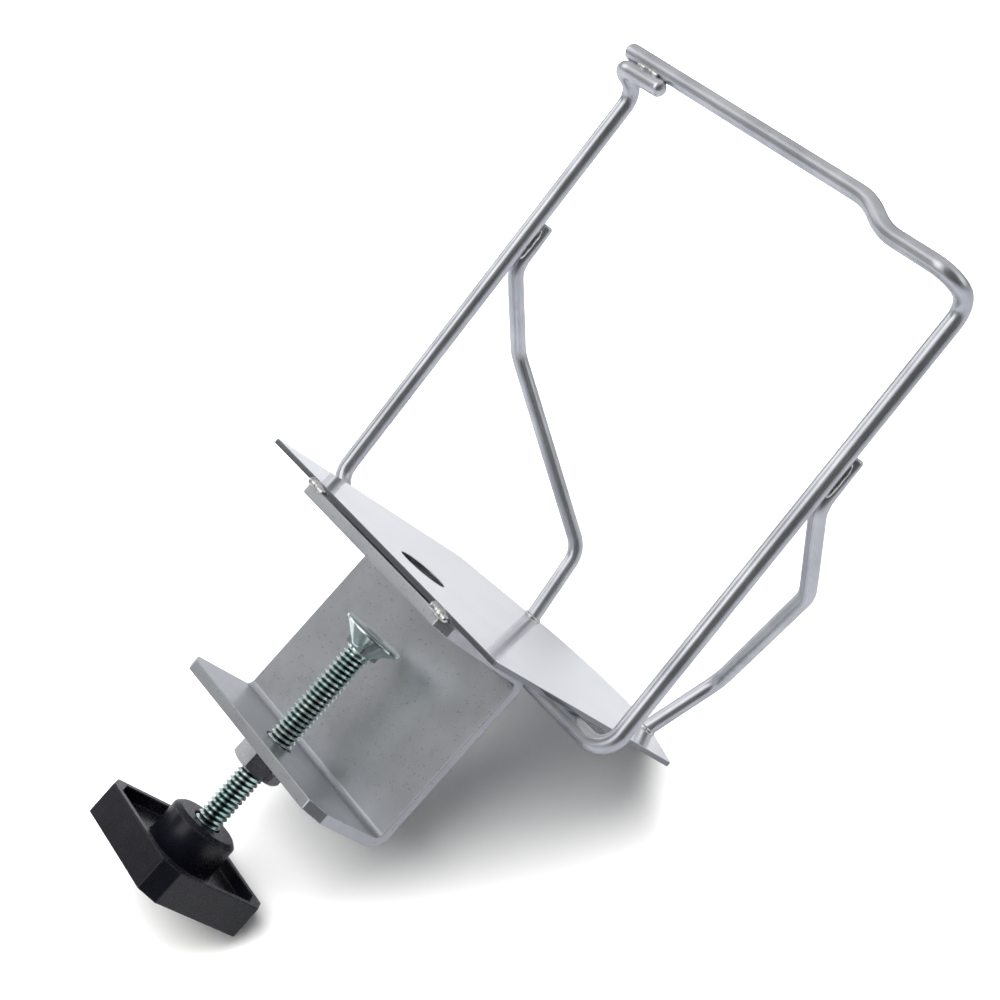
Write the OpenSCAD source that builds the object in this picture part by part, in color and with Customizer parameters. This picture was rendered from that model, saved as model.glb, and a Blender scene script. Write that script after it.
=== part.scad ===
// Hair dryer holder: a wire loop on a steel plate, with a screw clamp under the plate.
// Millimetres. X runs along the wire loop, +Y points away from the open side of the clamp,
// +Z runs up the clamp screw. The origin is on the screw axis, on the face of the upper jaw
// that rests on the table top.

/* [Clamp bracket] */
// Thickness of the folded steel
sheet_t = 2.7; // [2:0.1:4]
// Width of the bracket
bracket_w = 57; // [40:1:80]
// Clear height between the two jaws
jaw_gap = 45; // [34:0.2:70]
// Distance from the screw axis back to the web
throat = 13.1; // [11:0.1:25]
// Reach of the upper jaw in front of the screw axis
upper_reach = 20.5; // [12:0.5:35]
// Reach of the lower jaw in front of the screw axis
lower_reach = 10.8; // [8.5:0.1:30]
// Inner radius of the two folds
fold_r = 1.5; // [0.5:0.1:3]
// Corner cut of the upper jaw
upper_clip = 2.8; // [1:0.1:5]
// Corner cut of the lower jaw
lower_clip = 3.6; // [1:0.1:6]

/* [Top plate] */
// Thickness of the plate
plate_t = 1.3; // [1:0.1:3]
// Width of the plate
plate_w = 86.6; // [70:0.2:110]
// Plate in front of the screw axis
plate_front = 19.8; // [14:0.2:30]
// Length of the straight sides behind the screw axis
plate_side = 60; // [50:0.5:80]
// Length to the rounded tip behind the screw axis
plate_tip = 88.5; // [84:0.5:110]
// Radius of the rounded tip
tip_r = 33; // [26:0.5:36]
// Diameter of the hole in the plate
hole_d = 12.2; // [8:0.1:20]
// Distance of the hole in front of the screw axis
hole_front = 2.6; // [0:0.1:8]
// Slope of the plate, in degrees
plate_tilt = 2.7; // [1:0.1:4]
// Gap between the upper jaw and the front edge of the plate
plate_gap = 0.3; // [0.2:0.1:1]

/* [Wire loop] */
// Diameter of the loop wire
wire_d = 4.2; // [3:0.1:5]
// Distance between the two legs
loop_w = 108.6; // [95:0.2:140]
// Height of the top corners above the table
loop_h = 121.7; // [105:0.2:160]
// Lean of the legs towards the front, in degrees
loop_lean = 6; // [2:0.1:8]
// Forward reach of the two top corners
top_reach = 10.9; // [10:0.1:20]
// Centre radius of the corner bends
bend_r = 6; // [4:0.1:8]
// Length of the short end at the lap
stub_len = 14.8; // [14:0.1:30]
// Distance of the bar end from the left leg
bar_short = 1.4; // [0.5:0.1:4]
// Middle of the step in the bar, right of the centre
step_x = 30.3; // [20:0.1:36]
// Length of the slope in the step
step_run = 7.4; // [6:0.1:12]
// How far the bar is pressed into the short end
lap_sink = 0.2; // [0.1:0.05:0.5]

/* [Struts] */
// Diameter of the strut wire
strut_d = 4; // [3:0.1:5]
// Half the distance between the strut feet
foot_x = 23.7; // [18:0.1:30]
// Distance of the feet from the tip of the plate
foot_back = 13.7; // [12:0.1:22]
// Height of the lower strut bend above the plate
knee_h = 21; // [15:0.5:30]
// Height of the upper strut bend below the weld
elbow_drop = 14.5; // [10:0.5:20]
// Height where the strut meets the leg
meet_h = 71.5; // [60:0.5:90]
// Length of the strut along the leg
meet_len = 11.9; // [8:0.1:20]

/* [Clamp screw] */
// Diameter over the thread
screw_d = 6.35; // [5:0.05:8]
// Length of the screw with its head
screw_len = 63.5; // [50:0.5:80]
// Diameter of the flat head
head_d = 15.2; // [12:0.1:20]
// Thickness of the head rim
rim_t = 0.7; // [0.4:0.1:1.5]
// Height of the head cone
cone_h = 3.6; // [2:0.1:5]
// Height of the square neck under the cone
neck_h = 0.9; // [0.5:0.1:2]
// Distance from the table face down to the head
head_down = 13; // [4:0.5:24]
// Thread clearance on the radius
thread_gap = 0.05; // [0.01:0.01:0.1]

/* [Nut] */
// Size of the nut across its flats
nut_af = 11.1; // [9:0.1:13]
// Thickness of the nut
nut_t = 5.56; // [4:0.02:7]
// Turn of the nut about the screw, in degrees
nut_turn = 50; // [0:1:60]

/* [Knob] */
// Width of the square knob
knob_w = 33.5; // [24:0.5:40]
// Height of the square part
knob_h = 8.5; // [7:0.5:14]
// Corner cut of the knob
knob_clip = 3.5; // [2:0.1:6]
// Thickness of the rim around the recess
knob_rim = 1.8; // [1.2:0.1:3]
// Depth of the recess around the hub
recess_h = 3; // [1:0.1:5]
// Diameter of the hub
hub_d = 17.2; // [16:0.1:20]
// Height of the hub above the square part
hub_h = 6.5; // [5:0.5:12]
// Depth of the screw in the knob
grip = 7.5; // [6.5:0.1:9]
// Turn of the knob about the screw, in degrees
knob_turn = -5; // [-45:1:45]

/* [Hidden] */
$fn = 64;
eps = 0.01;
roomy = 0.35;              // clearance where nothing guides
bend_more = 0.04;          // the wire thickens a hair in its bends
joint_in = 0.3;            // straight lengths run this far into a bend
bead_gap = 0.08;           // beads clear round wire by this much on the diameter
web_y = throat + sheet_t;
low_z = -jaw_gap;
under_z = -jaw_gap - sheet_t;
fold_o = fold_r + sheet_t;
fold_y = throat - fold_r;

// the plate underside is a slanted plane through its front edge
slope = tan(plate_tilt);
function plate_z(y) = sheet_t + plate_gap + (y + plate_front) * slope;
function plate_top(y) = plate_z(y) + plate_t / cos(plate_tilt);
side_l = plate_front + plate_side;
tip_l = plate_front + plate_tip;
// the slanted back edges touch the tip circle
tip_c = tip_l - tip_r;
far_d = norm([plate_w / 2, side_l - tip_c]);
tan_a = atan2(side_l - tip_c, plate_w / 2) + acos(tip_r / far_d);

// the cross wire lies against the plate and clears the upper fold
run_clear = 0.3;
run_a = plate_z(fold_y) - wire_d / 2 / cos(plate_tilt) + fold_r;
run_dist = fold_o + run_clear + wire_d / 2;
run_sq = pow(run_a * slope, 2) - (1 + slope * slope) * (run_a * run_a - run_dist * run_dist);
run_y = fold_y + (sqrt(max(0, run_sq)) - run_a * slope) / (1 + slope * slope);
run_z = plate_z(run_y) - wire_d / 2 / cos(plate_tilt);
leg_x = loop_w / 2;
function leg_y(z) = run_y - (z - run_z) * tan(loop_lean);
top_y = leg_y(loop_h);
front_y = top_y - top_reach;
top_rise = 0.5;
bar_z = loop_h + top_rise;
lap_rise = wire_d - lap_sink;
top_r = min(bend_r, 0.495 * top_reach);
loop_pts = [[-leg_x + stub_len, front_y, bar_z], [-leg_x, front_y, bar_z],
            [-leg_x, top_y, loop_h], [-leg_x, run_y, run_z], [leg_x, run_y, run_z],
            [leg_x, top_y, loop_h], [leg_x, front_y, bar_z],
            [step_x + step_run / 2, front_y, bar_z],
            [step_x - step_run / 2, front_y, bar_z + lap_rise],
            [-leg_x + bar_short, front_y, bar_z + lap_rise]];
step_r = 2 * step_run;
loop_rad = [0, top_r, top_r, bend_r, bend_r, top_r, top_r, step_r, step_r, 0];

// the struts stand on the plate and end behind the legs
strut_off = (wire_d + strut_d) / 2 + 0.1;
foot_y = plate_tip - foot_back;
foot_z = plate_top(foot_y);
meet_y = leg_y(meet_h) + strut_off / cos(loop_lean);
end_h = meet_h + meet_len;
end_y = leg_y(end_h) + strut_off / cos(loop_lean);
knee = [foot_x + 5, foot_y + 2.3, foot_z + knee_h];
elbow_p = [leg_x - 0.25, meet_y + 22.1, meet_h - elbow_drop];
strut_pts = [[foot_x - 0.24, foot_y - 0.11, foot_z - 1], knee, elbow_p,
             [leg_x, meet_y, meet_h], [leg_x, end_y, end_h]];
strut_rad = [0, 7, 10, 7, 0];

pad_z = -head_down;
cone_z = pad_z - rim_t - cone_h;
screw_end = pad_z - screw_len;
hub_top = screw_end + grip;
block_top = hub_top - hub_h;
knob_end = block_top - knob_h;
floor_z = block_top - recess_h;
cap_t = 1.2;
insert_z = hub_top - cap_t - nut_t;
nut_bore = screw_d / 2 + thread_gap;

// ---- helpers ----
function unit(v) = v / norm(v);
function turn_a(u, w) = acos(max(-1, min(1, u * w)));
function dir_at(p, i) = unit(p[i + 1] - p[i]);
function trim_at(p, r, i) =
    (i == 0 || i == len(p) - 1) ? 0 : r[i] * tan(turn_a(dir_at(p, i - 1), dir_at(p, i)) / 2);

module rod(a, b, d) {
    v = b - a;
    translate(a) rotate([0, acos(v[2] / norm(v)), atan2(v[1], v[0])])
        cylinder(d = d, h = norm(v));
}

// a round bend at corner p, from direction u to direction w
module elbow(p, u, w, r, d) {
    n = unit(w - u * (u * w));
    c = p - u * r * tan(turn_a(u, w) / 2) + n * r;
    z = cross(-n, u);
    multmatrix([[-n[0], u[0], z[0], c[0]], [-n[1], u[1], z[1], c[1]],
                [-n[2], u[2], z[2], c[2]], [0, 0, 0, 1]])
        rotate_extrude(angle = turn_a(u, w)) translate([r, 0]) circle(d = d + bend_more);
}

module bent_wire(p, r, d) {
    for (i = [0:len(p) - 2]) {
        u = dir_at(p, i);
        a = i == 0 ? 0 : trim_at(p, r, i) - joint_in;
        b = i == len(p) - 2 ? 0 : trim_at(p, r, i + 1) - joint_in;
        rod(p[i] + u * a, p[i + 1] - u * b, d);
    }
    for (i = [1:len(p) - 2]) elbow(p[i], dir_at(p, i - 1), dir_at(p, i), r[i], d);
}

module at_plate() {
    translate([0, -plate_front, sheet_t + plate_gap]) rotate([plate_tilt, 0, 0]) children();
}

module plate_solid() {
    tx = tip_r * cos(tan_a);
    ty = tip_c + tip_r * sin(tan_a);
    at_plate() linear_extrude(plate_t) union() {
        polygon([[-plate_w / 2, 0], [plate_w / 2, 0], [plate_w / 2, side_l],
                 [tx, ty], [-tx, ty], [-plate_w / 2, side_l]]);
        translate([0, tip_c]) circle(r = tip_r, $fn = 96);
    }
}

// everything under the top face of the plate, for cutting
module below_plate() {
    at_plate() translate([-100, -50, -40]) cube([200, 250, 40 + plate_t]);
}

module jaw(reach, clip, z) {
    w = bracket_w / 2;
    translate([0, 0, z]) linear_extrude(sheet_t)
        polygon([[-w, fold_y], [-w, clip - reach], [clip - w, -reach],
                 [w - clip, -reach], [w, clip - reach], [w, fold_y]]);
}

module fold(z, up) {
    translate([0, fold_y, z]) intersection() {
        rotate([0, 90, 0]) difference() {
            cylinder(r = fold_o, h = bracket_w, center = true);
            cylinder(r = fold_r, h = bracket_w + 1, center = true);
        }
        translate([-bracket_w, 0, up ? 0 : -2 * fold_o])
            cube([2 * bracket_w, 2 * fold_o, 2 * fold_o]);
    }
}

module bracket_solid() {
    jaw(upper_reach, upper_clip, 0);
    jaw(lower_reach, lower_clip, under_z);
    translate([-bracket_w / 2, throat, low_z + fold_r])
        cube([bracket_w, sheet_t, jaw_gap - 2 * fold_r]);
    fold(-fold_r, true);
    fold(low_z + fold_r, false);
}

module hex(af, h) {
    cylinder(d = af / cos(30), h = h, $fn = 6);
}

module square_pad(w, clip, h) {
    k = w / 2;
    linear_extrude(h) polygon([[-k, clip - k], [clip - k, -k], [k - clip, -k], [k, clip - k],
        [k, k - clip], [k - clip, k], [clip - k, k], [-k, k - clip]]);
}

module loop_solid() {
    bent_wire(loop_pts, loop_rad, wire_d);
    translate(loop_pts[0]) sphere(d = wire_d + bend_more);
    translate(loop_pts[len(loop_pts) - 1]) sphere(d = wire_d + bend_more);
}

module strut_solid() {
    difference() {
        union() {
            bent_wire(strut_pts, strut_rad, strut_d);
            translate(strut_pts[len(strut_pts) - 1]) sphere(d = strut_d + bend_more);
        }
        below_plate();
    }
}

// ---- sub-parts ----
module clamp_bracket() {
    color("silver") difference() {
        bracket_solid();
        translate([0, 0, under_z - 1]) cylinder(d = screw_d + 2 * roomy, h = sheet_t + 2);
    }
}

module top_plate() {
    color("gainsboro") difference() {
        plate_solid();
        at_plate() translate([0, plate_front - hole_front, -1]) cylinder(d = hole_d, h = plate_t + 2);
    }
}

module wire_loop() { color("lightgray") loop_solid(); }

module strut_right() { color("lightgray") strut_solid(); }

module strut_left() { color("lightgray") mirror([1, 0, 0]) strut_solid(); }

module clamp_nut() {
    color("darkgray") translate([0, 0, under_z - nut_t]) difference() {
        intersection() {
            rotate([0, 0, nut_turn]) hex(nut_af, nut_t);
            union() {
                cylinder(r1 = nut_af / 2, r2 = nut_af / 2 + 1.8, h = 1.04);
                translate([0, 0, 1.03]) cylinder(r = nut_af / 2 + 1.8, h = nut_t);
            }
        }
        translate([0, 0, -1]) cylinder(r = nut_bore, h = nut_t + 2);
    }
}

module clamp_screw() {
    color("darkseagreen") {
        translate([0, 0, pad_z - rim_t]) cylinder(d = head_d, h = rim_t);
        translate([0, 0, cone_z]) cylinder(d1 = screw_d, d2 = head_d, h = cone_h);
        translate([-screw_d / 2, -screw_d / 2, cone_z - neck_h])
            cube([screw_d, screw_d, neck_h + 1.2]);
        translate([0, 0, screw_end + 0.8]) cylinder(d = screw_d, h = cone_z - screw_end);
        translate([0, 0, screw_end]) cylinder(d1 = screw_d - 1.2, d2 = screw_d, h = 0.8);
    }
}

module knob() {
    color("black") rotate([0, 0, knob_turn]) difference() {
        union() {
            difference() {
                translate([0, 0, knob_end]) square_pad(knob_w, knob_clip, knob_h);
                translate([0, 0, floor_z])
                    square_pad(knob_w - 2 * knob_rim, knob_clip, recess_h + 1);
            }
            translate([0, 0, floor_z - 1]) cylinder(d = hub_d, h = hub_top - floor_z);
            translate([0, 0, hub_top - 1]) cylinder(d1 = hub_d, d2 = hub_d - 2.4, h = 1);
        }
        translate([0, 0, screw_end - 1.5])
            cylinder(r = screw_d / 2 + roomy, h = grip + 3);
        translate([0, 0, insert_z]) hex(nut_af, nut_t);
    }
}

module knob_insert() {
    color("goldenrod") rotate([0, 0, knob_turn]) translate([0, 0, insert_z]) difference() {
        hex(nut_af, nut_t);
        translate([0, 0, -1]) cylinder(r = nut_bore, h = nut_t + 2);
    }
}

// short bead along the front seam of plate and upper jaw
module flange_weld(x) {
    seam_y = -plate_front - 0.1;
    color("whitesmoke") difference() {
        union() {
            translate([x - 1.6, seam_y, sheet_t + 0.3]) rotate([0, 90, 0]) cylinder(r = 1.5, h = 3.2);
            translate([x - 1.6, seam_y, sheet_t + 0.3]) sphere(r = 1.5);
            translate([x + 1.6, seam_y, sheet_t + 0.3]) sphere(r = 1.5);
        }
        bracket_solid();
        plate_slab();
    }
}

// the slab that the plate was cut from
module plate_slab() {
    at_plate() translate([-100, 0, 0]) cube([200, 250, plate_t]);
}

module flange_weld_right() { flange_weld(bracket_w / 2 - upper_clip - 1.5); }

module flange_weld_left() { flange_weld(1.5 + upper_clip - bracket_w / 2); }

// bead behind the cross wire, under the plate
module base_weld(x) {
    color("whitesmoke") difference() {
        translate([x - 5, run_y + wire_d / 2, run_z + wire_d / 2 - 0.9])
            rotate([0, 90, 0]) cylinder(r = 1.5, h = 10);
        rod([-leg_x + bend_r, run_y, run_z], [leg_x - bend_r, run_y, run_z], wire_d + bead_gap);
        at_plate() translate([-100, 0, 0]) cube([200, 250, 40]);
    }
}

module base_weld_right() { base_weld(plate_w / 2 - 9); }

module base_weld_left() { base_weld(9 - plate_w / 2); }

// ring around a strut foot
module foot_weld() {
    difference() {
        at_plate() translate([foot_x, (foot_y + plate_front) / cos(plate_tilt), plate_t])
            cylinder(r1 = strut_d / 2 + 1, r2 = strut_d / 2 + 0.35, h = 0.9);
        rod(strut_pts[0], knee, strut_d + bead_gap);
    }
}

module foot_weld_right() { color("whitesmoke") foot_weld(); }

module foot_weld_left() { color("whitesmoke") mirror([1, 0, 0]) foot_weld(); }

// two beads between a strut end and its leg
module top_weld() {
    a = [leg_x, (meet_y + leg_y(meet_h)) / 2, meet_h];
    b = [leg_x, (end_y + leg_y(end_h)) / 2, end_h];
    u = unit(b - a);
    difference() {
        rod(a + u * 2.6, b - u * 1.4, 3.2);
        rod([leg_x, run_y, run_z], [leg_x, top_y, loop_h], wire_d + bead_gap);
        bent_wire(strut_pts, strut_rad, strut_d + bead_gap);
        translate([leg_x - 0.6, -20, meet_h - 5]) cube([1.2, 60, meet_len + 10]);
    }
}

module top_weld_right() { color("whitesmoke") top_weld(); }

module top_weld_left() { color("whitesmoke") mirror([1, 0, 0]) top_weld(); }

// beads along both sides of the lap at the top left
module lap_weld() {
    x0 = -leg_x + stub_len - 2;
    x1 = -leg_x + top_r + 1.5;
    color("whitesmoke") difference() {
        translate([x1, front_y - 1.5, bar_z + lap_rise / 2 - 0.9]) cube([x0 - x1, 3, 1.8]);
        bent_wire(loop_pts, loop_rad, wire_d + bead_gap);
    }
}

module nut_weld() {
    a = nut_turn - 60;
    color("whitesmoke") difference() {
        rotate([0, 0, a]) translate([nut_af / 2 / cos(30) + 0.1, 0, under_z - 0.7])
            sphere(r = 2);
        bracket_solid();
        translate([0, 0, under_z - nut_t]) rotate([0, 0, nut_turn]) hex(nut_af, nut_t + 1);
    }
}

clamp_bracket();
top_plate();
wire_loop();
strut_left();
strut_right();
clamp_nut();
clamp_screw();
knob();
knob_insert();
flange_weld_left();
flange_weld_right();
base_weld_left();
base_weld_right();
foot_weld_left();
foot_weld_right();
top_weld_left();
top_weld_right();
lap_weld();
nut_weld();
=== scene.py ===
import bpy, bmesh, math
from mathutils import Vector, Matrix, noise


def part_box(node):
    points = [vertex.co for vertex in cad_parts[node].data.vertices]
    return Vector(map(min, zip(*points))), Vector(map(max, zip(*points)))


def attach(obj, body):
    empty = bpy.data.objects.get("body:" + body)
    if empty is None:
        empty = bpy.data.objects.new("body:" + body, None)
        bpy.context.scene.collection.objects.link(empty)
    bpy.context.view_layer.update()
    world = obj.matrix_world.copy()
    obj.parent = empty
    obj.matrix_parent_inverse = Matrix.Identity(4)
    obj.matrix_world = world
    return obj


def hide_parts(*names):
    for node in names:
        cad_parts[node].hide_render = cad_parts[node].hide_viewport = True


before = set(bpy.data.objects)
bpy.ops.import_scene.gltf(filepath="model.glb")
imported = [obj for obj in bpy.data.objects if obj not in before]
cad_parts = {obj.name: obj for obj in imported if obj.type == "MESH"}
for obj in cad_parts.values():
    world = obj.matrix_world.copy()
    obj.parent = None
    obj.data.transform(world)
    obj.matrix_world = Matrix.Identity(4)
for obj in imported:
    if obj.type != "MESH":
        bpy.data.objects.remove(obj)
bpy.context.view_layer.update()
mm = 0.001
joinWithin, thinBelow = 1e-7, 1e-8  # metres: points closer than this are one, and edges shorter than this go


# small helpers for meshes

def newObject(name, mesh):
    obj = bpy.data.objects.new(name, mesh)
    bpy.context.scene.collection.objects.link(obj)
    return obj


def meshFrom(name, verts, faces, uvs=None):
    mesh = bpy.data.meshes.new(name)
    mesh.from_pydata([tuple(v) for v in verts], [], faces)
    mesh.update()
    mesh.shade_smooth()
    mesh.set_sharp_from_angle(angle=math.radians(40))
    if uvs:
        layer = mesh.uv_layers.new(name="UVMap")
        for poly in mesh.polygons:
            for li in poly.loop_indices:
                layer.data[li].uv = uvs[mesh.loops[li].vertex_index]
    return mesh


def openRows(rows, sides):
    # quads between rows of sides + 1 points
    w = sides + 1
    return [(i * w + k, i * w + k + 1, (i + 1) * w + k + 1, (i + 1) * w + k)
            for i in range(rows - 1) for k in range(sides)]


def closedRings(rings, sides):
    # quads between rings of points that close on themselves
    faces = []
    for i in range(rings - 1):
        for k in range(sides):
            j = (k + 1) % sides
            faces.append((i * sides + k, i * sides + j, (i + 1) * sides + j, (i + 1) * sides + k))
    return faces


def reworkMesh(mesh, within, sharp=None, dropThin=False):
    # joins doubled points, turns the faces outward and shades them smooth
    bm = bmesh.new()
    bm.from_mesh(mesh)
    bmesh.ops.remove_doubles(bm, verts=bm.verts, dist=within)
    if dropThin:
        bmesh.ops.dissolve_degenerate(bm, edges=bm.edges, dist=thinBelow)
    bmesh.ops.recalc_face_normals(bm, faces=bm.faces)
    bm.to_mesh(mesh)
    bm.free()
    mesh.shade_smooth()
    if sharp:
        mesh.set_sharp_from_angle(angle=math.radians(sharp))
    return mesh


def roundedPath(points, radii):
    # a bent centre line in millimetres: an arc at each corner, then short steps along the straights
    arcStep, straightStep = 5, 4
    out = [Vector(points[0])]
    for i in range(1, len(points) - 1):
        p = Vector(points[i])
        u = (p - Vector(points[i - 1])).normalized()
        w = (Vector(points[i + 1]) - p).normalized()
        turn = u.angle(w)
        n = (w - u * u.dot(w)).normalized()
        c = p - u * radii[i] * math.tan(turn / 2) + n * radii[i]
        count = max(5, int(math.degrees(turn) / arcStep))
        for k in range(count + 1):
            a = turn * k / count
            out.append(c - n * radii[i] * math.cos(a) + u * radii[i] * math.sin(a))
    out.append(Vector(points[-1]))
    dense = [out[0]]
    for a, b in zip(out, out[1:]):
        cuts = max(1, int((b - a).length / straightStep))
        dense += [a.lerp(b, k / cuts) for k in range(1, cuts + 1)]
    return dense


wireForm = {"sides": 28, "noseSteps": 6, "pressRun": 9.0, "uvPerMm": 0.01}


def wireNose(ring, sign, corner, radius):
    # rings that round off an end and close it at the centre line
    p, t, s, _, l = ring
    made = []
    for k in range(1, wireForm["noseSteps"] + 1):
        a = math.radians(90 * k / wireForm["noseSteps"])
        made.append((p + t * sign * corner * math.sin(a), t, s, 1 - corner / radius * (1 - math.cos(a)), l))
    made.append((made[-1][0], t, s, 0.0, l))
    return made


def wireMesh(name, path, radius, startRound, endRound, endFlat=0.0):
    # path in millimetres; the ends close with a rounded nose unless they stand on something
    sides = wireForm["sides"]
    tangents = []
    for i in range(len(path)):
        a, b = path[max(0, i - 1)], path[min(len(path) - 1, i + 1)]
        tangents.append((b - a).normalized())
    side = tangents[0].orthogonal().normalized()
    rings = []  # centre, tangent, side, scale, length
    length = 0.0
    for i, p in enumerate(path):
        if i:
            length += (p - path[i - 1]).length
            side = (side - tangents[i] * side.dot(tangents[i])).normalized()
        rings.append((p.copy(), tangents[i], side.copy(), 1.0, length))
    if startRound:
        rings = list(reversed(wireNose(rings[0], -1, startRound, radius))) + rings
    if endRound:
        rings = rings + wireNose(rings[-1], 1, endRound, radius)
    verts, uvs = [], []
    total = rings[-1][4]
    for p, t, s, scale, l in rings:
        b = t.cross(s)
        press = endFlat * max(0.0, 1 - (total - l) / wireForm["pressRun"]) if endFlat else 0.0
        for k in range(sides + 1):
            a = 2 * math.pi * k / sides
            r = radius * scale
            d = s * math.cos(a) * r + b * math.sin(a) * r
            if press:
                d.y *= 1 - press
            verts.append((p + d) * mm)
            uvs.append((k / sides, l * wireForm["uvPerMm"]))
    faces = openRows(len(rings), sides)
    if not startRound:
        faces.append(tuple(range(sides - 1, -1, -1)))
    return reworkMesh(meshFrom(name, verts, faces, uvs), joinWithin, 50, True)


def latheMesh(name, profile, sides):
    verts = []
    for r, z in profile:
        for k in range(sides):
            a = 2 * math.pi * k / sides
            verts.append((r * math.cos(a) * mm, r * math.sin(a) * mm, z * mm))
    return reworkMesh(meshFrom(name, verts, closedRings(len(profile), sides)), joinWithin, 32)


easing = {"doubles": 2e-6, "flatWithin": 1.0, "profile": 0.6, "sharp": 38}


def easedCopy(node, name, width, segments=2, angle=28):
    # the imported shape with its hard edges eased, as a press or a mould leaves them
    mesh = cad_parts[node].data.copy()
    mesh.name = name
    bm = bmesh.new()
    bm.from_mesh(mesh)
    bmesh.ops.remove_doubles(bm, verts=bm.verts, dist=easing["doubles"])
    flatWithin = math.radians(easing["flatWithin"])
    bmesh.ops.dissolve_limit(bm, angle_limit=flatWithin, verts=bm.verts, edges=bm.edges)
    edges = [e for e in bm.edges if len(e.link_faces) == 2 and e.calc_face_angle(0) > math.radians(angle)]
    bmesh.ops.bevel(bm, geom=edges, offset=width * mm, segments=segments, profile=easing["profile"],
                    affect="EDGES", clamp_overlap=True, loop_slide=True)
    bmesh.ops.recalc_face_normals(bm, faces=bm.faces)
    bm.to_mesh(mesh)
    bm.free()
    mesh.materials.clear()
    mesh.shade_smooth()
    mesh.set_sharp_from_angle(angle=math.radians(easing["sharp"]))
    # each corner leans to its largest face, so wide faces stay flat right up to the eased edge
    lean = [Vector((0, 0, 0)) for _ in mesh.vertices]
    for poly in mesh.polygons:
        for v in poly.vertices:
            lean[v] += poly.normal * poly.area
    mesh.normals_split_custom_set_from_vertices([way.normalized() for way in lean])
    return newObject(name, mesh)


def placePiece(obj, body, material, slotName, *nodes):
    obj.data.materials.clear()
    obj.data.materials.append(material)
    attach(obj, body)
    if nodes:
        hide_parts(*nodes)
    return obj


# shared surface effects, as node groups

def newGroup(name, inputs, outputs):
    group = bpy.data.node_groups.new(name, "ShaderNodeTree")
    for label, kind, value in inputs:
        socket = group.interface.new_socket(name=label, in_out="INPUT", socket_type=kind)
        if value is not None:
            socket.default_value = value
    for label, kind in outputs:
        group.interface.new_socket(name=label, in_out="OUTPUT", socket_type=kind)
    return group, group.nodes.new("NodeGroupInput"), group.nodes.new("NodeGroupOutput")


def mathNode(nodes, links, kind, a, b=None):
    node = nodes.new("ShaderNodeMath")
    node.operation = kind
    for index, value in enumerate((a, b)):
        if value is None:
            continue
        if isinstance(value, (int, float)):
            node.inputs[index].default_value = value
        else:
            links.new(value, node.inputs[index])
    return node.outputs[0]


def makeMottle():
    # cloudy patches with fine specks over them, as on plated or cast surfaces
    group, inp, out = newGroup("cloudyMottle",
        [("Patch Scale", "NodeSocketFloat", 40.0), ("Speck Scale", "NodeSocketFloat", 900.0)],
        [("Patches", "NodeSocketFloat"), ("Specks", "NodeSocketFloat")])
    n, l = group.nodes, group.links
    coord = n.new("ShaderNodeTexCoord")
    patch = n.new("ShaderNodeTexNoise")
    patch.inputs["Detail"].default_value = 3
    patch.inputs["Roughness"].default_value = 0.55
    speck = n.new("ShaderNodeTexNoise")
    speck.inputs["Detail"].default_value = 4
    speck.inputs["Roughness"].default_value = 0.7
    l.new(coord.outputs["Object"], patch.inputs["Vector"])
    l.new(coord.outputs["Object"], speck.inputs["Vector"])
    l.new(inp.outputs["Patch Scale"], patch.inputs["Scale"])
    l.new(inp.outputs["Speck Scale"], speck.inputs["Scale"])
    l.new(patch.outputs["Fac"], out.inputs["Patches"])
    l.new(speck.outputs["Fac"], out.inputs["Specks"])
    return group


def makeDrawLines():
    # fine lines along the wire, left by the drawing die
    group, inp, out = newGroup("drawnLines",
        [("Around", "NodeSocketFloat", 60.0), ("Along", "NodeSocketFloat", 1.5)],
        [("Lines", "NodeSocketFloat")])
    n, l = group.nodes, group.links
    coord = n.new("ShaderNodeTexCoord")
    split = n.new("ShaderNodeSeparateXYZ")
    join = n.new("ShaderNodeCombineXYZ")
    l.new(coord.outputs["UV"], split.inputs[0])
    l.new(mathNode(n, l, "MULTIPLY", split.outputs[0], inp.outputs["Around"]), join.inputs[0])
    l.new(mathNode(n, l, "MULTIPLY", split.outputs[1], inp.outputs["Along"]), join.inputs[1])
    lines = n.new("ShaderNodeTexNoise")
    lines.inputs["Scale"].default_value = 1.0
    lines.inputs["Detail"].default_value = 3
    l.new(join.outputs[0], lines.inputs["Vector"])
    l.new(lines.outputs["Fac"], out.inputs["Lines"])
    return group


def makeDents():
    # shallow waves in pressed sheet
    group, inp, out = newGroup("pressDents", [("Wave Scale", "NodeSocketFloat", 60.0)],
                               [("Height", "NodeSocketFloat")])
    n, l = group.nodes, group.links
    coord = n.new("ShaderNodeTexCoord")
    wave = n.new("ShaderNodeTexNoise")
    wave.inputs["Detail"].default_value = 2
    l.new(coord.outputs["Object"], wave.inputs["Vector"])
    l.new(inp.outputs["Wave Scale"], wave.inputs["Scale"])
    l.new(wave.outputs["Fac"], out.inputs["Height"])
    return group


mottleGroup = makeMottle()
linesGroup = makeDrawLines()
dentsGroup = makeDents()
print("surface groups made")


noiseSpan = (0.3, 0.7)  # where nearly all of a noise's values lie


def newMaterial(name, metallic, coat=0.0):
    mat = bpy.data.materials.new(name)
    mat.use_nodes = True
    n = mat.node_tree.nodes
    shader = n["Principled BSDF"]
    shader.inputs["Metallic"].default_value = metallic
    shader.inputs["Coat Weight"].default_value = coat
    return mat, n, mat.node_tree.links, shader


def useGroup(n, group, **values):
    node = n.new("ShaderNodeGroup")
    node.node_tree = group
    for label, value in values.items():
        node.inputs[label.replace("_", " ")].default_value = value
    return node


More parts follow.
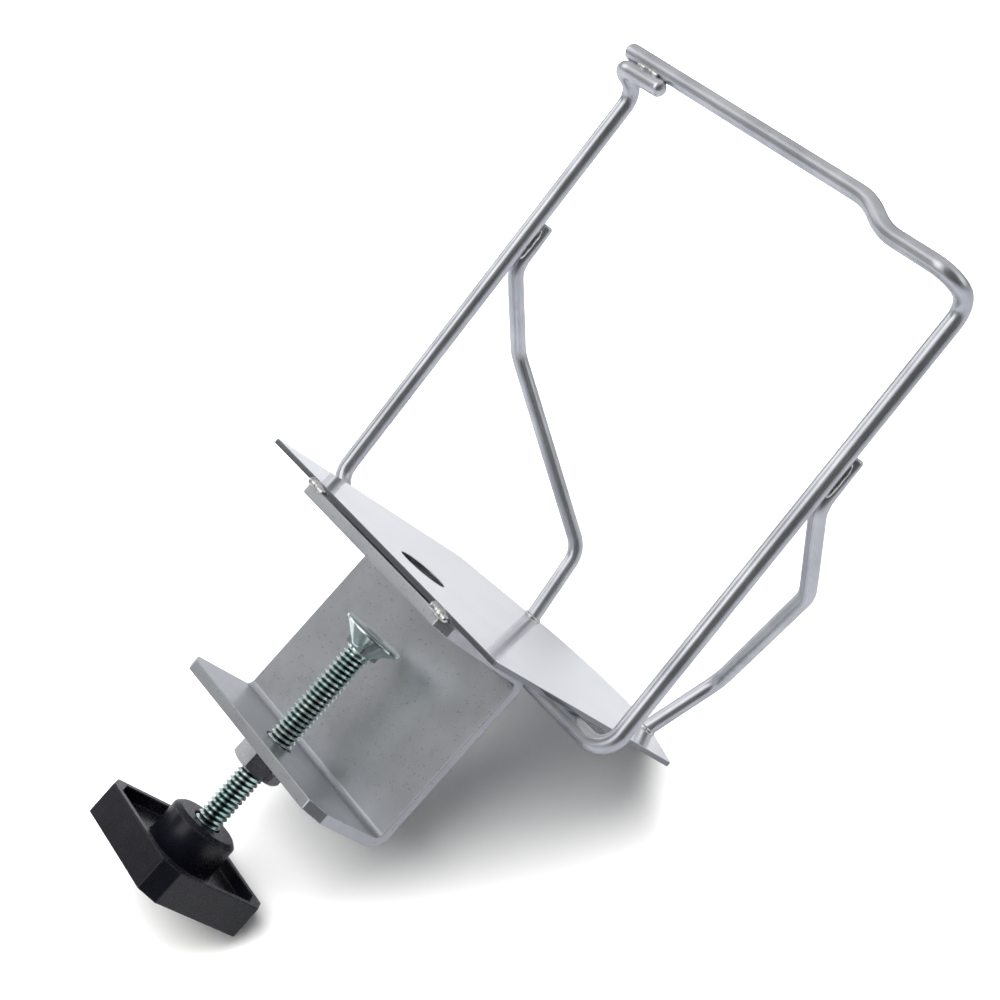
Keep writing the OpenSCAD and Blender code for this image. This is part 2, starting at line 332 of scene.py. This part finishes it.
def blendColour(n, l, fac, look):
    ramp = n.new("ShaderNodeValToRGB")
    ends = zip(ramp.color_ramp.elements, noiseSpan, (look["dark"], look["light"]))
    for element, position, colour in ends:
        element.position = position
        element.color = (*colour, 1)
    l.new(fac, ramp.inputs[0])
    return ramp.outputs[0]


def mixColours(n, l, fac, first, second):
    # first where fac is 0 and second where it is 1; each is a colour or a socket
    mix = n.new("ShaderNodeMix")
    mix.data_type = "RGBA"
    l.new(fac, mix.inputs["Factor"])
    for label, colour in (("A", first), ("B", second)):
        if isinstance(colour, tuple):
            mix.inputs[label].default_value = (*colour, 1)
        else:
            l.new(colour, mix.inputs[label])
    return mix.outputs["Result"]


def spread(n, l, value, lowFrom, highFrom, lowTo=0.0, highTo=1.0):
    node = n.new("ShaderNodeMapRange")
    limits = {"From Min": lowFrom, "From Max": highFrom, "To Min": lowTo, "To Max": highTo}
    for label, number in limits.items():
        node.inputs[label].default_value = number
    l.new(value, node.inputs["Value"])
    return node.outputs["Result"]


def roughen(n, l, shader, value, look):
    rough = spread(n, l, value, *noiseSpan, look["roughLow"], look["roughHigh"])
    l.new(rough, shader.inputs["Roughness"])


def bumpFrom(n, l, height, strength, distance, normal=None):
    bump = n.new("ShaderNodeBump")
    bump.inputs["Strength"].default_value = strength
    bump.inputs["Distance"].default_value = distance
    l.new(height, bump.inputs["Height"])
    if normal is not None:
        l.new(normal, bump.inputs["Normal"])
    return bump.outputs["Normal"]


sheetLook = {
    "dark": (0.39, 0.405, 0.43), "light": (0.48, 0.495, 0.52), "metal": 0.92, "patch": 55.0, "speck": 1400.0,
    "roughLow": 0.26, "roughHigh": 0.36, "wave": 70.0, "dentStrength": 0.16, "dentDistance": 0.0006,
}

plateLook = {
    "dark": (0.72, 0.74, 0.775), "light": (0.80, 0.815, 0.845), "metal": 0.92, "patch": 55.0, "speck": 1400.0,
    "roughLow": 0.10, "roughHigh": 0.17, "wave": 70.0, "dentStrength": 0.06, "dentDistance": 0.0004,
    "cut": (0.22, 0.23, 0.25), "cutBelow": 0.45, "flatAbove": 0.9,
}


def startMetal(name, look):
    # a new metal with its mottle group, which every look scales by itself
    mat, n, l, shader = newMaterial(name, look["metal"])
    return mat, n, l, shader, useGroup(n, mottleGroup, Patch_Scale=look["patch"], Speck_Scale=look["speck"])


def makeSheetMetal(name, look):
    mat, n, l, shader, mottle = startMetal(name, look)
    dents = useGroup(n, dentsGroup, Wave_Scale=look["wave"])
    colour = blendColour(n, l, mottle.outputs["Patches"], look)
    if "cut" in look:
        # the sheared edges are duller than the flat faces
        coord, split = n.new("ShaderNodeTexCoord"), n.new("ShaderNodeSeparateXYZ")
        l.new(coord.outputs["Normal"], split.inputs[0])
        level = mathNode(n, l, "ABSOLUTE", split.outputs[2])
        flat = spread(n, l, level, look["cutBelow"], look["flatAbove"])
        colour = mixColours(n, l, flat, look["cut"], colour)
    l.new(colour, shader.inputs["Base Color"])
    roughen(n, l, shader, mottle.outputs["Specks"], look)
    wavy = bumpFrom(n, l, dents.outputs["Height"], look["dentStrength"], look["dentDistance"])
    l.new(wavy, shader.inputs["Normal"])
    return mat


wireLook = {
    "dark": (0.48, 0.495, 0.53), "light": (0.66, 0.675, 0.71), "metal": 0.97, "patch": 90.0, "speck": 1700.0,
    "roughLow": 0.24, "roughHigh": 0.38, "around": 70.0, "along": 2.0, "lineStrength": 0.20,
    "lineDepth": 0.00004, "speckStrength": 0.08, "speckDepth": 0.00005,
}


def makeWireMetal(look):
    mat, n, l, shader, mottle = startMetal("platedWire", look)
    lines = useGroup(n, linesGroup, Around=look["around"], Along=look["along"])
    l.new(blendColour(n, l, mottle.outputs["Patches"], look), shader.inputs["Base Color"])
    roughen(n, l, shader, lines.outputs["Lines"], look)
    drawn = bumpFrom(n, l, lines.outputs["Lines"], look["lineStrength"], look["lineDepth"])
    specks = bumpFrom(n, l, mottle.outputs["Specks"], look["speckStrength"], look["speckDepth"], drawn)
    l.new(specks, shader.inputs["Normal"])
    return mat


screwLook = {
    "dark": (0.62, 0.80, 0.77), "light": (0.95, 0.99, 0.96), "metal": 1.0, "patch": 160.0, "speck": 2200.0,
    "roughLow": 0.10, "roughHigh": 0.20, "speckStrength": 0.10, "speckDepth": 0.00004,
    # the groove colour is painted shade for the thread roots, full close to the axis and fading out towards
    # the crests
    "grooveShade": (0.008, 0.022, 0.024), "grooveFrom": 0.00248, "grooveTo": 0.00272,
}


def makeScrewMetal(look):
    mat, n, l, shader, mottle = startMetal("clearZincScrew", look)
    # painted shade: the thread roots are painted near black, picked by their distance from the axis, so the
    # turns stand out
    coord = n.new("ShaderNodeTexCoord")
    flat, reach = n.new("ShaderNodeVectorMath"), n.new("ShaderNodeVectorMath")
    flat.operation, reach.operation = "MULTIPLY", "LENGTH"
    flat.inputs[1].default_value = (1, 1, 0)
    l.new(coord.outputs["Object"], flat.inputs[0])
    l.new(flat.outputs[0], reach.inputs[0])
    crest = spread(n, l, reach.outputs["Value"], look["grooveFrom"], look["grooveTo"])
    zinc = blendColour(n, l, mottle.outputs["Patches"], look)
    l.new(mixColours(n, l, crest, look["grooveShade"], zinc), shader.inputs["Base Color"])
    roughen(n, l, shader, mottle.outputs["Specks"], look)
    specks = bumpFrom(n, l, mottle.outputs["Specks"], look["speckStrength"], look["speckDepth"])
    l.new(specks, shader.inputs["Normal"])
    return mat


nutLook = {
    "dark": (0.28, 0.28, 0.30), "light": (0.44, 0.44, 0.46), "metal": 1.0, "patch": 140.0, "speck": 2600.0,
    "roughLow": 0.22, "roughHigh": 0.38,
}

beadLook = {
    "dark": (0.42, 0.42, 0.42), "light": (0.80, 0.80, 0.79), "metal": 1.0, "patch": 900.0, "speck": 2600.0,
    "roughLow": 0.14, "roughHigh": 0.36,
}

brassLook = {
    "dark": (0.55, 0.36, 0.13), "light": (0.76, 0.56, 0.26), "metal": 1.0, "patch": 400.0, "speck": 2600.0,
    "roughLow": 0.22, "roughHigh": 0.36,
}


plainBump = {"strength": 0.15, "depth": 0.0002}


def makePlainMetal(name, look):
    mat, n, l, shader, mottle = startMetal(name, look)
    l.new(blendColour(n, l, mottle.outputs["Patches"], look), shader.inputs["Base Color"])
    roughen(n, l, shader, mottle.outputs["Specks"], look)
    clouds = bumpFrom(n, l, mottle.outputs["Patches"], plainBump["strength"], plainBump["depth"])
    l.new(clouds, shader.inputs["Normal"])
    return mat


plasticLook = {
    "dark": (0.0016, 0.0016, 0.0034), "light": (0.0040, 0.0040, 0.0070), "patch": 120.0, "speck": 2400.0,
    "roughLow": 0.22, "roughHigh": 0.34, "coat": 0.05, "coatRough": 0.22, "ior": 1.40,
    "flowStrength": 0.12, "flowDepth": 0.0004,
}


def makeBlackPlastic(look):
    mat, n, l, shader = newMaterial("mouldedBlackPlastic", 0.0, look["coat"])
    shader.inputs["Coat Roughness"].default_value = look["coatRough"]
    shader.inputs["IOR"].default_value = look["ior"]
    mottle = useGroup(n, mottleGroup, Patch_Scale=look["patch"], Speck_Scale=look["speck"])
    l.new(blendColour(n, l, mottle.outputs["Patches"], look), shader.inputs["Base Color"])
    roughen(n, l, shader, mottle.outputs["Specks"], look)
    flow = bumpFrom(n, l, mottle.outputs["Patches"], look["flowStrength"], look["flowDepth"])
    l.new(flow, shader.inputs["Normal"])
    return mat


sheetMetal = makeSheetMetal("zincSheet", sheetLook)
plateMetal = makeSheetMetal("zincPlate", plateLook)
wireMetal = makeWireMetal(wireLook)
screwMetal = makeScrewMetal(screwLook)
nutMetal = makePlainMetal("nutSteel", nutLook)
beadMetal = makePlainMetal("beadMetal", beadLook)
blackPlastic = makeBlackPlastic(plasticLook)
brass = makePlainMetal("insertBrass", brassLook)
print("materials made")


# the clamp bracket, folded from sheet, with its edges eased

bracket = {"thick": 2.7, "width": 57.0, "upperClip": 2.8, "edge": 0.35}
bracketPiece = easedCopy("clamp_bracket", "clampBracket", bracket["edge"], 3)
placePiece(bracketPiece, "frame", sheetMetal, "satin_steel", "clamp_bracket")


# the plate, set on the bracket with a small tilt

plate = {"thick": 1.3, "front": 19.8, "gap": 0.3, "tilt": 2.7, "edge": 0.28, "tip": 88.5, "width": 86.6}
platePiece = easedCopy("top_plate", "topPlate", plate["edge"], 3)
placePiece(platePiece, "frame", plateMetal, "satin_steel", "top_plate")
print("sheet pieces placed")


def plateZ(y):
    return bracket["thick"] + plate["gap"] + (y + plate["front"]) * math.tan(math.radians(plate["tilt"]))


# the wire loop, bent from one length and welded where its ends lap

loop = {"wire": 4.2, "width": 108.6, "height": 121.7, "lean": 6.0, "reach": 10.9, "rise": 0.5, "bend": 6.0,
        "stub": 14.8, "barShort": 1.4, "stepX": 30.3, "stepRun": 7.4, "lapSink": 0.2, "endRound": 1.75}

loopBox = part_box("wire_loop")
runZ = loopBox[0].z / mm + loop["wire"] / 2
runY = loopBox[1].y / mm - loop["wire"] / 2
legX = loop["width"] / 2


def legY(z):
    return runY - (z - runZ) * math.tan(math.radians(loop["lean"]))


topY = legY(loop["height"])
barY = topY - loop["reach"]
barZ = loop["height"] + loop["rise"]
lapZ = barZ + loop["wire"] - loop["lapSink"]
cornerR = min(loop["bend"], 0.495 * loop["reach"])
stepFrom, stepTo = loop["stepX"] + loop["stepRun"] / 2, loop["stepX"] - loop["stepRun"] / 2
stepR = 2 * loop["stepRun"]
loopBends = [
    ((loop["stub"] - legX, barY, barZ), 0), ((-legX, barY, barZ), cornerR),
    ((-legX, topY, loop["height"]), cornerR), ((-legX, runY, runZ), loop["bend"]),
    ((legX, runY, runZ), loop["bend"]), ((legX, topY, loop["height"]), cornerR),
    ((legX, barY, barZ), cornerR), ((stepFrom, barY, barZ), stepR),
    ((stepTo, barY, lapZ), stepR), ((loop["barShort"] - legX, barY, lapZ), 0),
]
loopPath = roundedPath([p for p, r in loopBends], [r for p, r in loopBends])
loopMesh = wireMesh("wireLoop", loopPath, loop["wire"] / 2, loop["endRound"], loop["endRound"])
placePiece(newObject("wireLoop", loopMesh), "frame", wireMetal, "bright_wire", "wire_loop")
print("wire loop bent")


# the two struts, a mirrored pair

strut = {"wire": 4.0, "footX": 23.7, "footBack": 13.7, "footSink": 0.35, "knee": 21.0, "kneeOut": 5,
         "kneeBack": 2.3, "elbowDrop": 14.5, "elbowBack": 22.1, "elbowIn": 0.25, "meet": 71.5,
         "meetLen": 11.9, "gap": 0.1, "bends": (0, 7, 10, 7, 0), "endRound": 0.9, "flat": 0.22}

footY = plate["tip"] - strut["footBack"]
footZ = plateZ(footY) + plate["thick"] / math.cos(math.radians(plate["tilt"]))
besideLeg = ((loop["wire"] + strut["wire"]) / 2 + strut["gap"]) / math.cos(math.radians(loop["lean"]))
endZ = strut["meet"] + strut["meetLen"]
meetY, endY = legY(strut["meet"]) + besideLeg, legY(endZ) + besideLeg
strutLine = [
    (strut["footX"] - 0.05, footY - 0.02, footZ - strut["footSink"]),
    (strut["footX"] + strut["kneeOut"], footY + strut["kneeBack"], footZ + strut["knee"]),
    (legX - strut["elbowIn"], meetY + strut["elbowBack"], strut["meet"] - strut["elbowDrop"]),
    (legX, meetY, strut["meet"]),
    (legX, endY, endZ),
]
for side, sign in (("Left", -1), ("Right", 1)):
    path = roundedPath([(sign * x, y, z) for x, y, z in strutLine], strut["bends"])
    mesh = wireMesh("strut" + side, path, strut["wire"] / 2, 0, strut["endRound"], strut["flat"])
    placePiece(newObject("strut" + side, mesh), "frame", wireMetal, "bright_wire", "strut_" + side.lower())
print("struts bent")


# the clamp screw: flat head, cone, square neck and a rolled thread

screw = {"major": 6.35, "pitch": 1.27, "depth": 0.70, "length": 63.5, "headD": 15.2, "headZ": -13.0,
         "rim": 0.7, "cone": 3.6, "neck": 0.9, "neckEase": 0.35, "steps": 40, "sides": 96, "fade": 0.9}


def threadMesh(name, zTop, zLow):
    major, minor = screw["major"] / 2, screw["major"] / 2 - screw["depth"]
    # one turn's outline: how far along the pitch, and how far from the axis
    rows = [(0.0, major - 0.03), (0.06, major), (0.12, major - 0.03),
            (0.45, minor + 0.02), (0.56, minor), (0.67, minor + 0.02)]
    steps, pitch, fade = screw["steps"], screw["pitch"], screw["fade"]
    turns = int((zTop - zLow) / pitch) + 2
    lines = [(t * pitch + zLow - pitch + f * pitch, r) for t in range(turns + 1) for f, r in rows]
    verts = []
    for z0, r in lines:
        for k in range(steps + 1):
            z = z0 + pitch * k / steps
            rr = r
            if z > zTop - fade:  # the thread runs out under the neck
                rr = r + (major - r) * min(1.0, (z - zTop + fade) / fade)
            if z < zLow + fade:  # the end is chamfered
                rr = min(rr, minor + (z - zLow) * 0.9) if z > zLow else minor
            a = 2 * math.pi * k / steps
            verts.append((rr * math.cos(a) * mm, rr * math.sin(a) * mm, max(zLow, min(zTop, z)) * mm))
    return meshFrom(name, verts, openRows(len(lines), steps))


def screwHead(coneZ, neckZ):
    z, r, major = screw["headZ"], screw["headD"] / 2, screw["major"] / 2
    rimZ = z - screw["rim"]
    profile = [(0, z), (r - 0.5, z), (r - 0.12, z - 0.1), (r, z - 0.3), (r, rimZ + 0.12), (r - 0.14, rimZ),
               (major + 0.35, coneZ + 0.25), (major, coneZ - 0.4), (major, neckZ), (0, neckZ)]
    return latheMesh("screwHead", profile, screw["sides"])


def addSquareNeck(bm, coneZ, neckZ):
    # the square neck, with eased corners, stands out of the cone
    half, ease = screw["major"] / 2, screw["neckEase"]
    ring = [(half, half - ease), (half - ease, half), (ease - half, half), (-half, half - ease),
            (-half, ease - half), (ease - half, -half), (half - ease, -half), (half, ease - half)]
    levels = [(neckZ - 0.01, 0.9), (neckZ + 0.3, 1.0), (coneZ + 1.6, 1.0)]
    rings = [[bm.verts.new((x * s * mm, y * s * mm, h * mm)) for x, y in ring] for h, s in levels]
    for a, b in zip(rings, rings[1:]):
        for k in range(8):
            bm.faces.new((a[k], a[(k + 1) % 8], b[(k + 1) % 8], b[k]))
    bm.faces.new(list(reversed(rings[0])))
    bm.faces.new(rings[-1])


def closeTip(bm, tip):
    # a fan of faces from the tip's middle to the open edges of the thread's last turn
    def onTip(v):
        return abs(v.co.z - tip.z) < 1e-6

    openEdges = [e for e in bm.edges if len(e.link_faces) == 1 and all(onTip(v) for v in e.verts)]
    middle = min(bm.verts, key=lambda v: (v.co - tip).length)
    for e in openEdges:
        try:
            bm.faces.new((e.verts[0], e.verts[1], middle))
        except ValueError:  # the face is there already
            pass


def makeScrew():
    coneZ = screw["headZ"] - screw["rim"] - screw["cone"]
    neckZ = coneZ - screw["neck"]
    tipZ = screw["headZ"] - screw["length"]
    bm = bmesh.new()
    bm.from_mesh(screwHead(coneZ, neckZ))
    addSquareNeck(bm, coneZ, neckZ)
    bm.from_mesh(threadMesh("screwThread", neckZ + 0.1, tipZ))
    tip = Vector((0, 0, tipZ * mm))
    bm.verts.new(tip)
    bmesh.ops.remove_doubles(bm, verts=bm.verts, dist=joinWithin)
    closeTip(bm, tip)
    bmesh.ops.dissolve_degenerate(bm, edges=bm.edges, dist=thinBelow)
    bmesh.ops.recalc_face_normals(bm, faces=bm.faces)
    mesh = bpy.data.meshes.new("clampScrew")
    bm.to_mesh(mesh)
    bm.free()
    mesh.shade_smooth()
    mesh.set_sharp_from_angle(angle=math.radians(34))
    return newObject("clampScrew", mesh)


placePiece(makeScrew(), "screw", screwMetal, "zinc_screw", "clamp_screw")
print("screw turned")


# the nut, and the knob with its moulded-in insert

nut = {"edge": 0.22}
placePiece(easedCopy("clamp_nut", "clampNut", nut["edge"]), "frame", nutMetal, "satin_steel", "clamp_nut")

knob = {"edge": 0.38, "steps": 4, "angle": 24, "insertEdge": 0.15}
insertPiece = easedCopy("knob_insert", "knobInsert", knob["insertEdge"])
placePiece(insertPiece, "knob_body", brass, "brass_insert", "knob_insert")
knobPiece = easedCopy("knob", "knobGrip", knob["edge"], knob["steps"], knob["angle"])
placePiece(knobPiece, "knob_body", blackPlastic, "black_plastic", "knob")
print("nut and knob placed")


# weld beads: uneven runs that lie in the corners between their neighbours

beadForm = {"blunt": 3.2, "ripple": 0.07, "lumpScale": 0.9, "doubles": 2e-6}


def beadMesh(name, start, end, radius, ripples, seed, uneven=0.10, sides=18, rings=26):
    a, b = Vector(start), Vector(end)
    t = (b - a).normalized()
    s = t.orthogonal().normalized()
    u = t.cross(s)
    verts = []
    for i in range(rings + 1):
        f = i / rings
        swell = max(0.0, 1 - abs(2 * f - 1) ** beadForm["blunt"]) ** 0.5
        swell *= 1 + beadForm["ripple"] * math.sin(2 * math.pi * ripples * f)
        c = a.lerp(b, f)
        for k in range(sides):
            w = 2 * math.pi * k / sides
            d = s * math.cos(w) + u * math.sin(w)
            at = (c + d * radius) * beadForm["lumpScale"] + Vector((seed, seed * 2, 0))
            lump = 1 + uneven * noise.noise(at)
            verts.append((c + d * radius * swell * lump) * mm)
    return reworkMesh(meshFrom(name, verts, closedRings(rings + 1, sides)), beadForm["doubles"])


def joinMeshes(name, meshes):
    bm = bmesh.new()
    for m in meshes:
        bm.from_mesh(m)
    mesh = bpy.data.meshes.new(name)
    bm.to_mesh(mesh)
    bm.free()
    mesh.shade_smooth()
    return mesh


def placeWeld(name, meshes, node):
    mesh = joinMeshes(name, meshes)
    placePiece(newObject(name, mesh), "frame", beadMetal, "weld_metal", node)


seam = {"y": -plate["front"] - 0.35, "z": bracket["thick"] + 0.35, "radius": {"left": 1.15, "right": 1.25},
        "x": bracket["width"] / 2 - bracket["upperClip"] - 1.5}


def seamBeads(side, sign):
    # a bead on the jaw's front corner, with a drop that hangs off its outer end
    x, y, z, radius = sign * seam["x"], seam["y"], seam["z"], seam["radius"][side]
    bead = beadMesh("seamBead", (x - 3.0, y + 0.2, z), (x + 2.4, y + 0.2, z), radius, 2, 3 + sign)
    drop = beadMesh("seamDrop", (x + 0.4, y - 0.2, z - 0.3), (x + 3.4, y, z - 0.1), radius * 0.8, 1, 8 + sign)
    return [bead, drop]


base = {"y": runY + loop["wire"] / 2 - 0.1, "z": runZ + loop["wire"] / 2 - 0.7, "x": plate["width"] / 2 - 9,
        "half": 5.4, "radius": 1.35, "ripples": 5, "seed": 14}


def baseBead(sign):
    # along the cross wire, under the plate
    x, y, z = sign * base["x"], base["y"], base["z"]
    ends = (x - base["half"], y, z), (x + base["half"], y, z)
    return beadMesh("baseBead", *ends, base["radius"], base["ripples"], base["seed"] + sign)


collar = {"count": 9, "overlap": 1.5, "r": strut["wire"] / 2 + 0.1, "lift": 0.05, "radius": 0.62,
          "ripples": 1, "seed": 20, "uneven": 0.15, "sides": 10, "rings": 8}


def collarPoint(sign, turns):
    a = 2 * math.pi * turns / collar["count"]
    x = sign * strut["footX"] + collar["r"] * math.cos(a)
    return x, footY + collar["r"] * math.sin(a), footZ + collar["lift"] + collar["lift"] * math.sin(a)


def collarBeads(sign):
    # a low collar of small overlapping beads round the foot
    beads = []
    for k in range(collar["count"]):
        ends = collarPoint(sign, k), collarPoint(sign, k + collar["overlap"])
        seed = collar["seed"] + k * sign
        beads.append(beadMesh("collarBead", *ends, collar["radius"], collar["ripples"], seed,
                              collar["uneven"], collar["sides"], collar["rings"]))
    return beads


topBead = {"offset": 1.35, "radius": 0.75, "ripples": 3, "seed": 31}


def topBeads(sign):
    # on both sides of the line where the strut's end lies against the leg
    lowY = (legY(strut["meet"] + 2.4) + meetY) / 2 - 0.1
    highY = (legY(endZ - 1.2) + endY) / 2 + 0.05
    beads = []
    for offset in (-topBead["offset"], topBead["offset"]):
        x = sign * legX + offset
        ends = (x, lowY, strut["meet"] + 2.0), (x, highY, endZ - 1.0)
        seed = topBead["seed"] + offset
        beads.append(beadMesh("legBead", *ends, topBead["radius"], topBead["ripples"], seed))
    return beads


for side, sign in (("left", -1), ("right", 1)):
    placeWeld("flangeWeld" + side.title(), seamBeads(side, sign), "flange_weld_" + side)
    placeWeld("baseWeld" + side.title(), [baseBead(sign)], "base_weld_" + side)
    placeWeld("footWeld" + side.title(), collarBeads(sign), "foot_weld_" + side)
    placeWeld("topWeld" + side.title(), topBeads(sign), "top_weld_" + side)

lap = {"from": -legX + cornerR + 0.5, "to": loop["stub"] - legX - 1.2, "z": (barZ + lapZ) / 2, "radius": 0.8,
       "aside": 1.3, "ripples": 3, "seed": 41}
lapBeads = [beadMesh("lapBead", (lap["from"], barY + dy, lap["z"]), (lap["to"], barY + dy, lap["z"]),
                     lap["radius"], lap["ripples"], lap["seed"] + dy) for dy in (-lap["aside"], lap["aside"])]
placeWeld("lapWeld", lapBeads, "lap_weld")

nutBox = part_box("nut_weld")
tackAt = (nutBox[0] + nutBox[1]) / 2 / mm
tacks = [
    {"start": (-0.6, -1.6, 0.6), "end": (0.3, 1.5, 0.3), "radius": 1.5, "seed": 51},
    {"start": (-1.0, -0.8, -0.4), "end": (0.5, 0.7, -0.5), "radius": 1.05, "seed": 57},
]


def tackBead(start, end, radius, seed):
    return beadMesh("tackBead", tackAt + Vector(start), tackAt + Vector(end), radius, 1, seed)


placeWeld("nutWeld", [tackBead(**spec) for spec in tacks], "nut_weld")
print("weld beads laid")


# camera

view = {
    "place": (0.25513, -0.32384, 0.03757),
    "right": (0.577, 0.473, 0.666), "up": (-0.535, -0.397, 0.746), "lens": 67.14, "sensor": 36,
    "clipStart": 0.01,
}

cameraData = bpy.data.cameras.new("studioCamera")
cameraData.lens = view["lens"]
cameraData.sensor_width = view["sensor"]
cameraData.clip_start = view["clipStart"]
cameraObj = newObject("studioCamera", cameraData)
right = Vector(view["right"]).normalized()
back = right.cross(Vector(view["up"])).normalized()
up = back.cross(right)
turn = Matrix((right, up, back)).transposed().to_4x4()
cameraObj.matrix_world = Matrix.Translation(view["place"]) @ turn
bpy.context.scene.camera = cameraObj


# the table that the holder lies on, and the light around it

table = {"normal": (0.04, -0.79, 0.61), "touch": (0.0, 0.0885, 0.0095), "drop": 0.0003, "size": 6.0,
         "seen": (0.93, 0.93, 0.92), "mirrored": (0.37, 0.375, 0.39), "glowFrom": 0.19, "glowTo": 0.34,
         "rough": 0.7, "specular": 0.1}

tableUp = Vector(table["normal"]).normalized()
tableRight = (right - tableUp * right.dot(tableUp)).normalized()
tableBack = tableUp.cross(tableRight)
tablePoint = Vector(table["touch"]) - tableUp * table["drop"]


def stagePoint(r, b, u):
    return tablePoint + tableRight * r + tableBack * b + tableUp * u


def makeTable():
    half = table["size"] / 2
    verts = [stagePoint(r * half, b * half, 0) for r, b in ((-1, -1), (1, -1), (1, 1), (-1, 1))]
    obj = newObject("tableTop", meshFrom("tableTop", verts, [(0, 1, 2, 3)]))
    mat = bpy.data.materials.new("paleTable")
    mat.use_nodes = True
    n, l = mat.node_tree.nodes, mat.node_tree.links
    shader = n["Principled BSDF"]
    # bright metal sees the table darker than the eye does, which keeps its edges grey
    path = n.new("ShaderNodeLightPath")
    shade = mixColours(n, l, path.outputs["Is Glossy Ray"], table["seen"], table["mirrored"])
    l.new(shade, shader.inputs["Base Color"])
    shader.inputs["Roughness"].default_value = table["rough"]
    shader.inputs["Specular IOR Level"].default_value = table["specular"]
    # away from the holder the table glows white for the eye, so that it ends without a grey rim
    place, gap = n.new("ShaderNodeNewGeometry"), n.new("ShaderNodeVectorMath")
    gap.operation = "DISTANCE"
    gap.inputs[1].default_value = tablePoint
    l.new(place.outputs["Position"], gap.inputs[0])
    far = spread(n, l, gap.outputs["Value"], table["glowFrom"], table["glowTo"])
    glow = mathNode(n, l, "MULTIPLY", far, path.outputs["Is Camera Ray"])
    shader.inputs["Emission Color"].default_value = (1, 1, 1, 1)
    l.new(glow, shader.inputs["Emission Strength"])
    # seen from below, the table is clear
    clear = n.new("ShaderNodeBsdfTransparent")
    mix = n.new("ShaderNodeMixShader")
    l.new(place.outputs["Backfacing"], mix.inputs[0])
    l.new(shader.outputs[0], mix.inputs[1])
    l.new(clear.outputs[0], mix.inputs[2])
    l.new(mix.outputs[0], n["Material Output"].inputs["Surface"])
    obj.data.materials.append(mat)


makeTable()


def softLight(name, at, aim, size, power):
    data = bpy.data.lights.new(name, "AREA")
    data.shape = "SQUARE"
    data.size = size
    data.energy = power
    obj = newObject(name, data)
    direction = (Vector(aim) - Vector(at)).normalized()
    obj.matrix_world = Matrix.Translation(at) @ direction.to_track_quat("-Z", "Y").to_matrix().to_4x4()
    return obj


middle = Vector((0.0, 0.01, 0.01))
lights = {
    "mainSoftbox": {"at": (-0.22, -0.02, 0.94), "size": 1.15, "power": 29.0, "mirrored": False},
    "sideSoftbox": {"at": (0.75, -0.15, 0.45), "size": 0.5, "power": 0.5, "mirrored": True},
    "frontFill": {"at": (-0.45, -0.75, 0.45), "size": 0.6, "power": 0.25, "mirrored": False},
}
for name, spec in lights.items():
    lamp = softLight(name, stagePoint(*spec["at"]), middle, spec["size"], spec["power"])
    lamp.visible_glossy = spec["mirrored"]


# the room, as the metal mirrors it: grey walls, a bright panel and window, a dark front and a dim band

room = {"wall": 0.60, "under": 0.20, "strength": 1.0, "fill": 0.10, "horizon": (-0.05, 0.12),
        "panel": {"at": (-0.62, -0.25, 0.74), "from": 0.80, "to": 0.95, "value": 1.7},
        "dark": {"at": (0.20, -0.88, 0.42), "from": 0.50, "to": 0.85, "value": 0.07},
        "band": {"at": (-0.90, 0.10, 0.42), "from": 0.92, "to": 0.985, "value": 0.16},
        "window": {"at": (-0.74, 0.57, 0.35), "from": 0.93, "to": 0.985, "value": 1.6}}


def stageWay(r, b, u):
    return (tableRight * r + tableBack * b + tableUp * u).normalized()


def makeWorld():
    world = bpy.data.worlds.new("paleRoom")
    bpy.context.scene.world = world
    world.use_nodes = True
    n, l = world.node_tree.nodes, world.node_tree.links
    coord = n.new("ShaderNodeTexCoord")

    def toward(way, low, high):
        dot = n.new("ShaderNodeVectorMath")
        dot.operation = "DOT_PRODUCT"
        dot.inputs[1].default_value = way
        l.new(coord.outputs["Generated"], dot.inputs[0])
        ease = n.new("ShaderNodeMapRange")
        ease.interpolation_type = "SMOOTHSTEP"
        ease.inputs["From Min"].default_value = low
        ease.inputs["From Max"].default_value = high
        l.new(dot.outputs["Value"], ease.inputs["Value"])
        return ease.outputs["Result"]

    def over(base, fac, value):
        mix = n.new("ShaderNodeMix")
        l.new(fac, mix.inputs["Factor"])
        if isinstance(base, float):
            mix.inputs["A"].default_value = base
        else:
            l.new(base, mix.inputs["A"])
        mix.inputs["B"].default_value = value
        return mix.outputs["Result"]

    grey = over(room["under"], toward(tableUp, *room["horizon"]), room["wall"])
    for part in ("panel", "dark", "band", "window"):
        spot = room[part]
        grey = over(grey, toward(stageWay(*spot["at"]), spot["from"], spot["to"]), spot["value"])
    path = n.new("ShaderNodeLightPath")
    # diffuse light from the room is weaker, so that the softbox keeps its shadow
    level = over(room["strength"], path.outputs["Is Diffuse Ray"], room["fill"])
    mirrored = n.new("ShaderNodeBackground")
    l.new(grey, mirrored.inputs["Color"])
    l.new(level, mirrored.inputs["Strength"])
    seen = n["Background"]
    seen.inputs["Color"].default_value = (1, 1, 1, 1)
    seen.inputs["Strength"].default_value = 1.0
    mix = n.new("ShaderNodeMixShader")
    l.new(path.outputs["Is Camera Ray"], mix.inputs[0])
    l.new(mirrored.outputs[0], mix.inputs[1])
    l.new(seen.outputs[0], mix.inputs[2])
    l.new(mix.outputs[0], n["World Output"].inputs["Surface"])


makeWorld()
bpy.context.scene.view_settings.view_transform = "Standard"
print("table, lights and camera set")
